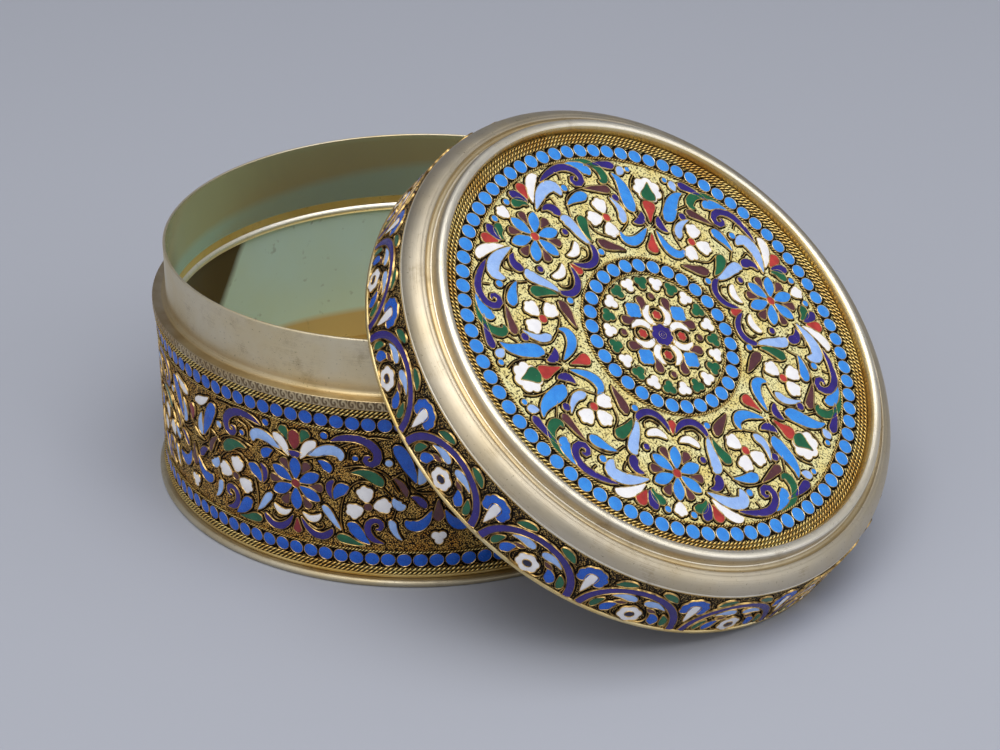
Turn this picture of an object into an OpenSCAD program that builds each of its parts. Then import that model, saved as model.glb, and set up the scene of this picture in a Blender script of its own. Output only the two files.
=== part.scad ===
// Round silver-gilt box with cloisonne enamel: a drum on a low foot, with a plain collar,
// and a loose lid that slips over the collar. All sizes are in millimetres.
// The box stands on z = 0 with its axis on Z. The lid leans against it towards +X.

/* [Whole box] */
// Diameter over the foot, the widest part of the box
foot_d = 100; // [85:0.5:125]
// Height of the open box, from the table to the top of the collar
box_h = 46.6; // [38:0.1:60]
// Where the lid is drawn
lid_place = "leaning"; // [leaning, closed]

/* [Drum] */
// How far the foot stands out past the drum
foot_step = 1.6; // [1:0.1:4]
// Thickness of the drum wall
drum_wall_t = 1.7; // [1.2:0.1:2.5]
// Height of the foot ring
foot_h = 1.3; // [0.8:0.1:3]
// Width of the face that the foot stands on
foot_face_w = 3.6; // [2:0.1:6]
// How far the top of the foot ring reaches in under the bottom plate
foot_lap = 0.3; // [0.2:0.05:1]
// Thickness of the bottom plate
bottom_t = 1; // [0.6:0.1:2]

/* [Collar] */
// Height of the collar above the shoulder
collar_h = 10.3; // [6:0.1:16]
// Thickness of the collar sheet
collar_t = 0.5; // [0.4:0.05:1]
// How deep the collar is soldered into the drum
collar_seat = 2.4; // [1.5:0.1:5]
// Radius of the cove at the collar's foot
collar_cove_r = 0.9; // [0.4:0.1:1]
// Radius of the half-round bead inside, below the collar
ledge_r = 0.9; // [0.5:0.1:1.5]

/* [Shoulder] */
// Height of the stamped shoulder ring
shoulder_h = 1.9; // [1.2:0.1:3]
// How far the shoulder ring stands out past the drum
shoulder_step = 0.9; // [0.6:0.1:1.4]

/* [Lid] */
// Height of the lid skirt
skirt_h = 11.4; // [8:0.1:16]
// Thickness of the skirt sheet
skirt_t = 0.85; // [0.6:0.05:1.2]
// How far the skirt draws in from its edge to its top
skirt_draw = 0.85; // [0:0.05:1.2]
// How far the skirt's edge stands out past the drum
skirt_step = 1.25; // [0.9:0.05:1.4]
// Height of the moulding between the skirt and the raised rim
moulding_h = 3; // [2:0.1:5]
// Width of the moulding
moulding_w = 4.6; // [3.5:0.1:7]
// Width of the raised rim
rim_w = 2; // [1.4:0.1:3]
// Height of the raised rim above the moulding
rim_up = 2; // [1:0.1:3]
// How deep the medallion lies below the top of the rim
medallion_sink = 2.45; // [1.5:0.05:3]
// Thickness of the medallion plate
plate_t = 0.7; // [0.5:0.1:1.2]
// Width of the slip ring inside the skirt
slip_ring_w = 0.8; // [0.5:0.05:1]
// Height of the slip ring's lower end above the skirt's edge
slip_ring_up = 2.4; // [2:0.1:4]
// Gap between the slip ring and the collar
slip_gap = 0.1; // [0.06:0.01:0.3]

/* [Leaning lid] */
// Tilt of the leaning lid
lean_tilt = 38.3; // [34:0.1:44]
// How far the lid's centre lies to the side of the box's axis
lean_side = 2.8; // [0:0.1:4]
// Gap between the skirt's inside and the collar where it leans
lean_gap = 0.3; // [0.2:0.05:0.6]
// Gap between the lid's edge and the table
table_gap = 0.02; // [0:0.01:0.1]

/* [Enamel and wire] */
// Thickness of the enamel above the metal
enamel_t = 0.4; // [0.2:0.05:0.6]
// Diameter of the twisted wires
rope_d = 0.74; // [0.5:0.02:1]
// Diameter of the thin border wires
thin_rope_d = 0.5; // [0.3:0.02:0.7]
// Diameter of the half-round wires at the foot and at the skirt's edge
half_wire_d = 0.8; // [0.5:0.05:1.2]
// Diameter of the blue beads
bead_d = 2.56; // [1.8:0.02:2.8]
// Number of beads in each row on the drum
wall_beads = 108; // [90:1:120]
// Number of beads in the medallion's outer ring
outer_bead_n = 82; // [70:1:90]
// Number of beads in the medallion's inner ring
inner_bead_n = 30; // [24:1:34]
// Radius of the medallion's inner bead ring
inner_bead_r = 14.24; // [12:0.05:16]
// Number of blue flowers round the drum
wall_flowers = 6; // [4:1:7]
// Number of arches in the lid's frieze
frieze_arches_n = 16; // [12:1:18]

/* [Turn of the ornament] */
// Turn of the medallion's flowers about the lid's axis
medallion_turn = -38; // [-60:1:60]
// Turn of the rosette's trefoils about the lid's axis
trefoil_turn = 21; // [0:0.5:33]
// Turn of the frieze about the lid's axis
frieze_turn = 1.5; // [-11:0.1:11]
// Turn of the flowers round the drum
wall_turn = -12.8; // [-30:0.1:30]

/* [Hidden] */
$fn = 96;
// How far a cutting shape reaches past what it cuts
cut_over = 1;
// Depth of a motif before it is cut to its thin layer
cut_h = 4;

// Radii and heights of the box
foot_r = foot_d / 2;
drum_r = foot_r - foot_step;
drum_in_r = drum_r - drum_wall_t;
collar_in_r = drum_in_r - collar_t;
shoulder_top = box_h - collar_h;
drum_top = shoulder_top - shoulder_h;
shoulder_r = drum_r + shoulder_step;
shoulder_round = 0.5;

// Rows on the drum, counted up from the foot and down from the shoulder
half_wire_r = half_wire_d / 2;
foot_wire_z = foot_h + half_wire_r;
foot_rope_z = [foot_h + half_wire_d + rope_d / 2, foot_h + half_wire_d + rope_d * 1.5];
shoulder_rope_z = [drum_top - rope_d * 1.5, drum_top - rope_d / 2];
bead_gap = 0.1;
lower_bead_z = foot_h + half_wire_d + 2 * rope_d + bead_gap + bead_d / 2;
upper_bead_z = drum_top - 2 * rope_d - bead_gap - bead_d / 2;
border_off = bead_d / 2 + bead_gap + thin_rope_d / 2;
field_z = (lower_bead_z + upper_bead_z) / 2;

// Radii and heights of the lid, measured from its edge plane
skirt_r = drum_r + skirt_step;
skirt_top_r = skirt_r - skirt_draw;
skirt_in_r = skirt_r - skirt_t;
slip_in_r = drum_in_r + slip_gap;
slip_out_r = slip_in_r + slip_ring_w;
rim_out_r = skirt_top_r - moulding_w;
rim_in_r = rim_out_r - rim_w;
lid_top = skirt_h + moulding_h + rim_up;
plate_top = lid_top - medallion_sink;
moulding_t = 0.9;
moulding_step_w = 1.4;
moulding_step_h = 0.2;
moulding_dip = 0.3;
edge_wire_up = 0.15;

// Rings on the medallion, counted in from the rim
ring_gap = 0.08;
rim_rope_r = [for (i = [0:2]) rim_in_r - ring_gap - rope_d * (i + 0.5)];
outer_bead_r = rim_rope_r[2] - rope_d / 2 - bead_gap - bead_d / 2;
field_out_r = outer_bead_r - border_off;
field_in_r = inner_bead_r + border_off;
rosette_r = inner_bead_r - border_off;

// Flowers: place of the blue and white flowers in the medallion and on the drum
flower_sets = 3;
blue_out = 1.4;
blue_r = (field_out_r + field_in_r) / 2 + blue_out;
blue_petals = 6;
blue_len = 5.1;
blue_wid = 2.4;
blue_hole = 0.95;
blue_eye_d = 1.7;
white_at_r = 24.6;
white_at_a = 36;
white_petal_d = 2.9;
white_petal_r = 2.4;
white_eye_d = 1.6;
white_turns = [-46, 34, 207];
wall_blue_down = 0.3;
wall_blue_z = field_z - wall_blue_down;
wall_white_off = [13.2, -2.6];
wall_white_turns = [10, 100, 202];
trefoil_n = 11;
trefoil_in = 1.75;
trefoil_r = rosette_r - trefoil_in;
trefoil_lobe_d = 1.25;
trefoil_lobe_at = 0.62;
trefoil_spread = 105;
rosette_flower_r = 2;
rosette_lobes = 6;

// Frieze: one arch over a flower, then a fan and a drop between arches
arch_pitch = 360 / frieze_arches_n;
arch_gap = 0.53;
arch_r = skirt_r * PI / frieze_arches_n - arch_gap;
arch_w = 1.05;
arch_h = 0.4;
arch_top_gap = 0.9;
arch_foot_gap = 0.1;
// A wide arch sits lower, so that its top stays clear of the moulding
arch_at = min(arch_h, skirt_h - arch_top_gap - arch_r);
arch_foot = edge_wire_up + half_wire_d + arch_foot_gap;
frieze_flower_h = 3.2;
frieze_hub_r = 1.4;
frieze_lobe_at = 1.3;
frieze_lobe_r = 0.65;
frieze_hole_r = 0.9;
frieze_eye_r = 0.8;
fan_h = 8;
fan_lobe_at = 1.85;
fan_lobe_r = 0.95;
fan_turns = [-20, 35, 90, 145, 200];
fan_hole_r = 1.1;
drop_r = 0.9;
drop_len = 4;
drop_neck = 0.3;
drop_side = sqrt(drop_r * drop_r - drop_neck * drop_neck);

// Leaning pose. The skirt's lowest point stands on the table. The collar's top edge leaves
// the lid through its mouth at the distance lean_gap inside the skirt's sheet, and stays at
// least lean_gap below the medallion plate.
lean_z = skirt_r * sin(lean_tilt) + table_gap;
lean_slope = (lean_z - box_h) / sin(lean_tilt);
lean_across = sqrt(pow(skirt_in_r - lean_gap, 2) - pow(lean_slope, 2));
lean_y = lean_side - lean_across;
lean_mouth_x = sqrt(pow(drum_in_r, 2) - pow(lean_y, 2)) - (lean_z - box_h) / tan(lean_tilt);
lean_depth = plate_top - plate_t - lean_gap - (box_h - lean_z) * cos(lean_tilt);
lean_plate_x = drum_in_r - lean_depth / sin(lean_tilt);
lean_x = max(lean_mouth_x, lean_plate_x);

// Metal and enamel colours
gold = "#d9b860";
silver_gilt = "#c9bfa4";
inside_gilt = "#9aa794";
blue = "#3c8ce0";
cobalt = "#33247a";
white = "#f2eeee";
red = "#b43c3c";
green = "#1e6e48";
aubergine = "#55303a";

function arc(c, r, a0, a1, n = 8) =
    [for (i = [0:n]) c + r * [cos(a0 + (a1 - a0) * i / n), sin(a0 + (a1 - a0) * i / n)]];

// Solid of revolution from an outline of [radius, height] points
module turned(points) {
    rotate_extrude() polygon(points);
}

// Round wire bent to a ring of radius r at height z
module ring_wire(r, z, d) {
    translate([0, 0, z]) rotate_extrude() translate([r, 0]) circle(d = d);
}

// Half-round wire bent round a cylinder of radius r
module half_ring(r, z, d) {
    turned(arc([r, z], d / 2, -90, 90, 12));
}

module tube(out_r, in_r, z0, z1) {
    difference() {
        translate([0, 0, z0]) cylinder(r = out_r, h = z1 - z0);
        translate([0, 0, z0 - cut_over]) cylinder(r = in_r, h = z1 - z0 + 2 * cut_over);
    }
}

// Moves the lid's pieces, drawn upright over their own edge plane, to where the lid is
module place_lid() {
    if (lid_place == "leaning")
        translate([lean_x, lean_side, lean_z]) rotate([0, lean_tilt, 0]) children();
    else
        translate([0, 0, shoulder_top]) children();
}

module on_plate() {
    place_lid() translate([0, 0, plate_top]) children();
}

// Turns a flat motif, drawn with x across and y up, to face outwards at an angle and height
module facing(angle, z, r) {
    rotate([0, 0, angle]) translate([r, 0, z]) rotate([90, 0, 90]) children();
}

// Enamel on the drum: motifs cut to a thin layer that lies on the drum
module drum_layer() {
    intersection() {
        tube(drum_r + enamel_t, drum_r, 0, box_h);
        children();
    }
}

// Enamel on the skirt: motifs cut to a thin layer that lies on the sloping skirt
module skirt_layer() {
    place_lid() intersection() {
        turned([[skirt_r, 0], [skirt_r + enamel_t, 0], [skirt_top_r + enamel_t, skirt_h],
                [skirt_top_r, skirt_h]]);
        children();
    }
}

// Pointed petal along +X, between two arcs
module petal(len, wid, t) {
    r = (len * len + wid * wid) / (4 * wid);
    intersection_for (side = [-1, 1])
        translate([len / 2, side * (r - wid / 2), 0]) cylinder(r = r, h = t);
}

// Blue petals about a flower's eye, the first along +X
module petal_ring(t) {
    for (i = [0:blue_petals - 1])
        rotate([0, 0, i * 360 / blue_petals]) translate([blue_hole, 0, 0])
            petal(blue_len - blue_hole, blue_wid, t);
}

// Three round white petals about a small hub
module white_petals(turns, t) {
    for (a = turns)
        rotate([0, 0, a]) translate([white_petal_r, 0, 0]) cylinder(d = white_petal_d, h = t);
}

module trefoil(t) {
    for (a = [-1:1])
        rotate([0, 0, a * trefoil_spread]) translate([trefoil_lobe_at, 0, 0])
            cylinder(d = trefoil_lobe_d, h = t);
    cylinder(d = trefoil_lobe_d, h = t);
}

module bead_row(z) {
    drum_layer()
        for (i = [0:wall_beads - 1])
            facing(i * 360 / wall_beads, z, drum_r - cut_over) cylinder(d = bead_d, h = cut_h);
}

module bead_circle(n, r) {
    on_plate() for (i = [0:n - 1])
        rotate([0, 0, i * 360 / n]) translate([r, 0, 0]) cylinder(d = bead_d, h = enamel_t);
}

module flower_places() {
    for (i = [0:flower_sets - 1]) rotate([0, 0, medallion_turn + i * 360 / flower_sets]) children();
}

// The white flower on one side of each blue flower in the medallion
module white_places(side) {
    flower_places() rotate([0, 0, side * white_at_a]) translate([white_at_r, 0, 0]) children();
}

// Angles on the drum of a point off to one side of a flower
function wall_angle(i, off = 0) = wall_turn + i * 360 / wall_flowers + off / drum_r * 180 / PI;

// Pieces of the box

module drum_wall() {
    color(gold) tube(drum_r, drum_in_r, foot_h, drum_top);
}

module bottom_plate() {
    color(inside_gilt) translate([0, 0, foot_h]) cylinder(r = drum_in_r, h = bottom_t);
}

module foot_ring() {
    edge = foot_h / 2;
    color(silver_gilt) turned(concat(
        [[foot_r - foot_face_w, 0], [foot_r - edge, 0]],
        arc([foot_r - edge, edge], edge, -90, 90),
        [[drum_in_r - foot_lap, foot_h]]
    ));
}

module foot_wire() {
    color(gold) half_ring(drum_r, foot_wire_z, half_wire_d);
}

module drum_rope(z, d) {
    color(gold) ring_wire(drum_r + d / 2, z, d);
}

module foot_rope_lower() {
    drum_rope(foot_rope_z[0], rope_d);
}

module foot_rope_upper() {
    drum_rope(foot_rope_z[1], rope_d);
}

module lower_beads() {
    color(blue) bead_row(lower_bead_z);
}

module lower_border_wire() {
    drum_rope(lower_bead_z + border_off, thin_rope_d);
}

module upper_border_wire() {
    drum_rope(upper_bead_z - border_off, thin_rope_d);
}

module upper_beads() {
    color(blue) bead_row(upper_bead_z);
}

module shoulder_rope_lower() {
    drum_rope(shoulder_rope_z[0], rope_d);
}

module shoulder_rope_upper() {
    drum_rope(shoulder_rope_z[1], rope_d);
}

module shoulder_ring() {
    color(silver_gilt) turned(concat(
        [[drum_in_r, drum_top]],
        arc([shoulder_r - shoulder_round, drum_top + shoulder_round], shoulder_round, -90, 0),
        arc([shoulder_r - shoulder_round / 2, shoulder_top - shoulder_round / 2], shoulder_round / 2, 0, 90),
        [[drum_in_r, shoulder_top]]
    ));
}

module collar() {
    cove = [drum_in_r + collar_cove_r, shoulder_top + collar_cove_r];
    lip = collar_t / 2;
    color(silver_gilt) turned(concat(
        [[collar_in_r, drum_top - collar_seat], [drum_in_r, drum_top - collar_seat],
         [drum_in_r, shoulder_top]],
        arc(cove, collar_cove_r, 270, 180),
        arc([drum_in_r - lip, box_h - lip], lip, 0, 180)
    ));
}

module ledge_ring() {
    z = drum_top - collar_seat - ledge_r;
    color(inside_gilt) intersection() {
        ring_wire(drum_in_r, z, 2 * ledge_r);
        translate([0, 0, z - ledge_r]) cylinder(r = drum_in_r, h = 2 * ledge_r);
    }
}

// A flower on the drum, off to one side of each blue flower
module wall_places(off) {
    for (i = [0:wall_flowers - 1])
        facing(wall_angle(i, off[0]), wall_blue_z + off[1], drum_r - cut_over) children();
}

module wall_blue_petals() {
    color(blue) drum_layer() wall_places([0, 0]) rotate([0, 0, 90]) petal_ring(cut_h);
}

module wall_blue_eyes() {
    color(red) drum_layer() wall_places([0, 0]) cylinder(d = blue_eye_d, h = cut_h);
}

module wall_white_petals() {
    color(white) drum_layer() {
        wall_places(wall_white_off) white_petals(wall_white_turns, cut_h);
        wall_places([-wall_white_off[0], wall_white_off[1]])
            white_petals([for (a = wall_white_turns) 180 - a], cut_h);
    }
}

module wall_white_eyes() {
    color(aubergine) drum_layer() {
        wall_places(wall_white_off) cylinder(d = white_eye_d, h = cut_h);
        wall_places([-wall_white_off[0], wall_white_off[1]]) cylinder(d = white_eye_d, h = cut_h);
    }
}

// Pieces of the lid

module lid_skirt() {
    color(gold) place_lid() turned([
        [skirt_in_r, 0], [skirt_r, 0], [skirt_top_r, skirt_h], [skirt_top_r - skirt_t, skirt_h]
    ]);
}

module skirt_edge_wire() {
    slope = skirt_draw / skirt_h;
    wire_h = edge_wire_up + half_wire_r;
    color(gold) place_lid() difference() {
        ring_wire(skirt_r - slope * wire_h, wire_h, half_wire_d);
        turned([[0, -cut_over], [skirt_r + slope * cut_over, -cut_over],
                [skirt_r - slope * 2 * half_wire_d, 2 * half_wire_d], [0, 2 * half_wire_d]]);
    }
}

module slip_ring() {
    color(silver_gilt) place_lid() tube(slip_out_r, slip_in_r, slip_ring_up, skirt_h);
}

module lid_moulding() {
    step_r = rim_out_r + moulding_step_w;
    band_r = skirt_top_r - step_r;
    top = skirt_h + moulding_h;
    color(silver_gilt) place_lid() turned(concat(
        [[slip_in_r, skirt_h], [skirt_top_r, skirt_h]],
        [for (i = [1:8]) [step_r + band_r * cos(90 * i / 8), skirt_h + moulding_h * sin(90 * i / 8)]],
        [[step_r, top - moulding_step_h], [rim_out_r, top - moulding_dip],
         [rim_out_r, top - moulding_dip - moulding_t], [slip_in_r, skirt_h + moulding_t]]
    ));
}

module lid_rim() {
    top_r = rim_w / 2;
    low = plate_top - plate_t;
    color(silver_gilt) place_lid() turned(concat(
        [[rim_in_r, low], [rim_out_r, low]],
        arc([rim_in_r + top_r, lid_top - top_r], top_r, 0, 180)
    ));
}

module medallion_plate() {
    color(gold) on_plate() translate([0, 0, -plate_t]) cylinder(r = rim_in_r, h = plate_t);
}

module plate_rope(r, d) {
    color(gold) on_plate() ring_wire(r, d / 2, d);
}

module rim_rope_outer() {
    plate_rope(rim_rope_r[0], rope_d);
}

module rim_rope_middle() {
    plate_rope(rim_rope_r[1], rope_d);
}

module rim_rope_inner() {
    plate_rope(rim_rope_r[2], rope_d);
}

module outer_beads() {
    color(blue) bead_circle(outer_bead_n, outer_bead_r);
}

module field_wire_outer() {
    plate_rope(field_out_r, thin_rope_d);
}

module field_wire_inner() {
    plate_rope(field_in_r, thin_rope_d);
}

module inner_beads() {
    color(blue) bead_circle(inner_bead_n, inner_bead_r);
}

module rosette_wire() {
    plate_rope(rosette_r, thin_rope_d);
}

module medallion_blue_petals() {
    color(blue) on_plate() flower_places() translate([blue_r, 0, 0]) petal_ring(enamel_t);
}

module medallion_blue_eyes() {
    color(red) on_plate() flower_places() translate([blue_r, 0, 0]) cylinder(d = blue_eye_d, h = enamel_t);
}

module medallion_white_petals() {
    color(white) on_plate() {
        white_places(1) white_petals(white_turns, enamel_t);
        white_places(-1) white_petals(-white_turns, enamel_t);
    }
}

module medallion_white_eyes() {
    color(red) on_plate() {
        white_places(1) cylinder(d = white_eye_d, h = enamel_t);
        white_places(-1) cylinder(d = white_eye_d, h = enamel_t);
    }
}

module rosette_flower() {
    lobe = rosette_flower_r / 3;
    color(cobalt) on_plate() {
        cylinder(r = rosette_flower_r - lobe, h = enamel_t);
        for (i = [0:rosette_lobes - 1])
            rotate([0, 0, i * 360 / rosette_lobes]) translate([rosette_flower_r - lobe, 0, 0])
                cylinder(r = lobe, h = enamel_t);
    }
}

module trefoil_ring(start) {
    on_plate() for (i = [0:trefoil_n - 1])
        rotate([0, 0, trefoil_turn + (i + start) * 360 / trefoil_n]) translate([trefoil_r, 0, 0])
            trefoil(enamel_t);
}

module rosette_white_trefoils() {
    color(white) trefoil_ring(0);
}

module rosette_green_trefoils() {
    color(green) trefoil_ring(0.5);
}

module arch_places(start, h) {
    for (i = [0:frieze_arches_n - 1])
        facing(frieze_turn + (i + start) * arch_pitch, h, skirt_top_r - cut_over) children();
}

module frieze_arches() {
    color(cobalt) skirt_layer() arch_places(0, arch_at) difference() {
        cylinder(r = arch_r, h = cut_h);
        translate([0, 0, -cut_over]) cylinder(r = arch_r - arch_w, h = cut_h + 2 * cut_over);
        translate([-2 * arch_r, arch_foot - arch_at - 2 * arch_r, -cut_over])
            cube([4 * arch_r, 2 * arch_r, cut_h + 2 * cut_over]);
    }
}

module frieze_flowers() {
    color(white) skirt_layer() arch_places(0, frieze_flower_h) difference() {
        union() {
            cylinder(r = frieze_hub_r, h = cut_h);
            for (a = [30:60:330])
                rotate([0, 0, a]) translate([frieze_lobe_at, 0, 0]) cylinder(r = frieze_lobe_r, h = cut_h);
        }
        translate([0, 0, -cut_over]) cylinder(r = frieze_hole_r, h = cut_h + 2 * cut_over);
    }
}

module frieze_eyes() {
    color(cobalt) skirt_layer() arch_places(0, frieze_flower_h) cylinder(r = frieze_eye_r, h = cut_h);
}

module frieze_fans() {
    color(blue) skirt_layer() arch_places(0.5, fan_h) difference() {
        for (a = fan_turns)
            rotate([0, 0, a]) translate([fan_lobe_at, 0, 0]) cylinder(r = fan_lobe_r, h = cut_h);
        translate([0, 0, -cut_over]) cylinder(r = fan_hole_r, h = cut_h + 2 * cut_over);
    }
}

module frieze_drops() {
    color(white) skirt_layer() arch_places(0.5, fan_h) {
        cylinder(r = drop_r, h = cut_h);
        linear_extrude(cut_h)
            polygon([[-drop_side, -drop_neck], [0, -drop_len], [drop_side, -drop_neck]]);
    }
}

drum_wall();
bottom_plate();
foot_ring();
foot_wire();
foot_rope_lower();
foot_rope_upper();
lower_beads();
lower_border_wire();
upper_border_wire();
upper_beads();
shoulder_rope_lower();
shoulder_rope_upper();
shoulder_ring();
collar();
ledge_ring();
wall_blue_petals();
wall_blue_eyes();
wall_white_petals();
wall_white_eyes();
lid_skirt();
skirt_edge_wire();
slip_ring();
lid_moulding();
lid_rim();
medallion_plate();
rim_rope_outer();
rim_rope_middle();
rim_rope_inner();
outer_beads();
field_wire_outer();
field_wire_inner();
inner_beads();
rosette_wire();
medallion_blue_petals();
medallion_blue_eyes();
medallion_white_petals();
medallion_white_eyes();
rosette_flower();
rosette_white_trefoils();
rosette_green_trefoils();
frieze_arches();
frieze_flowers();
frieze_eyes();
frieze_fans();
frieze_drops();
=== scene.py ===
import bpy
import numpy as np
from mathutils import Matrix, Vector


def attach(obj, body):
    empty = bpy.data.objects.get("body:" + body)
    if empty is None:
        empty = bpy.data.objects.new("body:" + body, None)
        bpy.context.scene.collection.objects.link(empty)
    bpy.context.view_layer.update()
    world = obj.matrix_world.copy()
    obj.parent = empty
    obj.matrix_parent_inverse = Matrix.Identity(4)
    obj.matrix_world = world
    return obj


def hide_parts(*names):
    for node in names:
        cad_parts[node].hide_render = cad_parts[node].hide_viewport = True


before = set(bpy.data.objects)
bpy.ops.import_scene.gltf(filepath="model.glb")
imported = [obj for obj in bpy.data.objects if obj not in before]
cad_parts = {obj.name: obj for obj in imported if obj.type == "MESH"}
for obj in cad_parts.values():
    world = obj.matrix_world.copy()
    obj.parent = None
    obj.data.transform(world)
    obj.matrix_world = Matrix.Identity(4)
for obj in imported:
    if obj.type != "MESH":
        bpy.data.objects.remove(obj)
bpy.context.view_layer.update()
mm = 0.001
print("frame loaded:", len(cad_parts), "nodes")

# sizes are in millimetres and angles in degrees unless a note says otherwise
# where the lid leans: centre of its edge plane, and its tilt about Y
lean = dict(centre=(46.5181, 2.8, 30.7921), tilt=38.3)
drum = dict(radius=48.4, inside=46.7, low=1.3, top=34.4)
skirt = dict(radius=49.65, topRadius=48.8, height=11.4, wall=0.85)
plateTop = 13.95


# millimetres of the box to metres of the frame
def onBox(p):
    return p * mm


# lid point (x downhill, y, height) = centre + x (cos t, 0, -sin t) + y (0, 1, 0) + height (sin t, 0, cos t)
def onLid(p):
    c, s = polar(1, lean["tilt"])
    return (lean["centre"] + p @ np.array([(c, 0, -s), (0, 1, 0), (s, 0, c)])) * mm


# flat motif (x across, y up, h out of the metal) bent round an upright cone:
# angle = start + x / radius, distance from the axis = radius - slope y + h, height = y
def bent(flat, start, radius, slope):
    a = np.radians(start) + flat[..., 0] / radius
    r = radius - slope * flat[..., 1] + flat[..., 2]
    return np.stack([r * np.cos(a), r * np.sin(a), flat[..., 1]], -1)


# round the drum, whose wall is upright
def mapDrum(flat, start):
    return onBox(bent(flat, start, drum["radius"], 0))


# round the lid's skirt, which narrows evenly to its top
def mapSkirt(flat, start):
    slope = (skirt["radius"] - skirt["topRadius"]) / skirt["height"]
    return onLid(bent(flat, start, skirt["radius"], slope))


# flat motif laid on the medallion: y points along the start angle, x a quarter turn clockwise from it
def mapMedallion(flat, start):
    c, s = polar(1, start)
    x, y = flat[..., 0], flat[..., 1]
    return onLid(np.stack([y * c + x * s, y * s - x * c, plateTop + flat[..., 2]], -1))


# Meshes

# K grids of m steps along a path by n points round a closed profile; a grid with negative volume is turned outwards
def outwards(grids, wrap):
    p = grids[..., :3] - grids[..., :3].mean((1, 2), keepdims=True)
    a = p if wrap else p[:, :-1]
    b = np.roll(p, -1, 1) if wrap else p[:, 1:]
    c, d = np.roll(b, -1, 2), np.roll(a, -1, 2)
    volume = (a * np.cross(b, c)).sum((1, 2, 3)) + (a * np.cross(c, d)).sum((1, 2, 3))
    grids = grids.copy()
    grids[volume < 0] = grids[volume < 0][:, :, ::-1]
    return grids


# an object of its own in the scene
def placed(name, data):
    o = bpy.data.objects.new(name, data)
    bpy.context.scene.collection.objects.link(o)
    return o


# one mesh from several stacks of grids; quads join step i to i + 1 and profile point j to j + 1, open ends get a cap.
# A fourth number at a point says how deep in a hollow it lies, from 0 to 1
def makePiece(name, stacks, finish, body, nodes=(), sharp=40):
    points, corners, sizes, start = [], [], [], 0
    for grids, wrap in stacks:
        grids = outwards(np.asarray(grids, float), wrap)
        k, m, n = grids.shape[:3]
        i, j = np.meshgrid(np.arange(m if wrap else m - 1), np.arange(n), indexing="ij")
        i2, j2 = (i + 1) % m, (j + 1) % n
        quads = np.stack([i * n + j, i2 * n + j, i2 * n + j2, i * n + j2], -1).reshape(1, -1, 4)
        offset = start + np.arange(k)[:, None] * m * n
        corners.append((quads + offset[..., None]).ravel())
        sizes.append(np.full(k * quads.shape[1], 4))
        if not wrap:
            ring = np.arange(n)[None]
            corners += [(offset + ring).ravel(), (offset + (m - 1) * n + ring[:, ::-1]).ravel()]
            sizes.append(np.full(2 * k, n))
        points.append(grids.reshape(k * m * n, -1))
        start += k * m * n
    points, corners, sizes = np.concatenate(points), np.concatenate(corners), np.concatenate(sizes)
    mesh = bpy.data.meshes.new(name)
    mesh.vertices.add(len(points))
    mesh.vertices.foreach_set("co", points[:, :3].ravel())
    mesh.loops.add(len(corners))
    mesh.loops.foreach_set("vertex_index", corners.astype(np.int32))
    mesh.polygons.add(len(sizes))
    mesh.polygons.foreach_set("loop_start", (np.cumsum(sizes) - sizes).astype(np.int32))
    mesh.update(calc_edges=True)
    mesh.validate()
    if points.shape[1] == 4:
        mesh.attributes.new("hollow", "FLOAT", "POINT").data.foreach_set("value", points[:, 3].astype(np.float32))
    mesh.shade_smooth()
    mesh.set_sharp_from_angle(angle=np.radians(sharp))
    piece = placed(name, mesh)
    for f in finish if isinstance(finish, (list, tuple)) else [finish]:
        mesh.materials.append(f.material)
    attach(piece, body)
    if nodes:
        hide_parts(*nodes)
    return piece


# point at a distance and an angle from a centre
def polar(r, angle, centre=(0, 0)):
    a = np.radians(angle)
    return centre[0] + r * np.cos(a), centre[1] + r * np.sin(a)


# points on an arc about a centre, between two angles
def arc(centre, radius, a0, a1, n=9):
    return [polar(radius, a, centre) for a in np.linspace(a0, a1, n)]


# n even angles of a full turn from a first one
def around(first, n):
    return first + 360 / n * np.arange(n)


# points with one more number each
def raised(points, more):
    return np.concatenate([points, np.broadcast_to(more, points.shape[:-1])[..., None]], -1)


# a node's name as a piece's name: foot_rope_lower becomes footRopeLower
def pieceName(node):
    first, *others = node.split("_")
    return first + "".join(word.capitalize() for word in others)


roundSteps = 256


# outline of (radius, height) points carried round the axis at even angles;
# hollow(angle, radius, height) times press is taken off the radius
def turned(outline, place, steps=roundSteps, closed=True, hollow=None, press=0.0):
    o = np.array(outline, float)
    a = np.linspace(0, 2 * np.pi, steps, endpoint=False)
    r, h = (np.broadcast_to(o[:, i:i + 1], (len(o), steps)) for i in (0, 1))
    deep = hollow(a[None], r, h) if hollow else np.zeros_like(r)
    r = r - press * deep
    grid = place(np.stack([r * np.cos(a), r * np.sin(a), h], -1))
    return (raised(grid, deep) if hollow else grid)[None], closed


# a turned piece in place of a CAD node; steps gives the finish of each step of its outline, caps that of its two ends
def turnedPiece(node, body, outline, finish, steps=(), caps=(), closed=True, name=None):
    stack = turned(outline, onBox if body == "box" else onLid, closed=closed)
    piece = makePiece(name or pieceName(node), [stack], finish, body, [node])
    if steps:
        kinds = np.append(np.repeat(steps, roundSteps), caps)
        piece.data.polygons.foreach_set("material_index", kinds.astype(np.int32))


# twisted wire: its thickness, the length of a turn, steps a turn, sides of a strand
thickRope = dict(wire=0.74, pitch=1.7, steps=8, sides=6)
thinRope = dict(wire=0.5, pitch=1.2, steps=6, sides=5)


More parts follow.
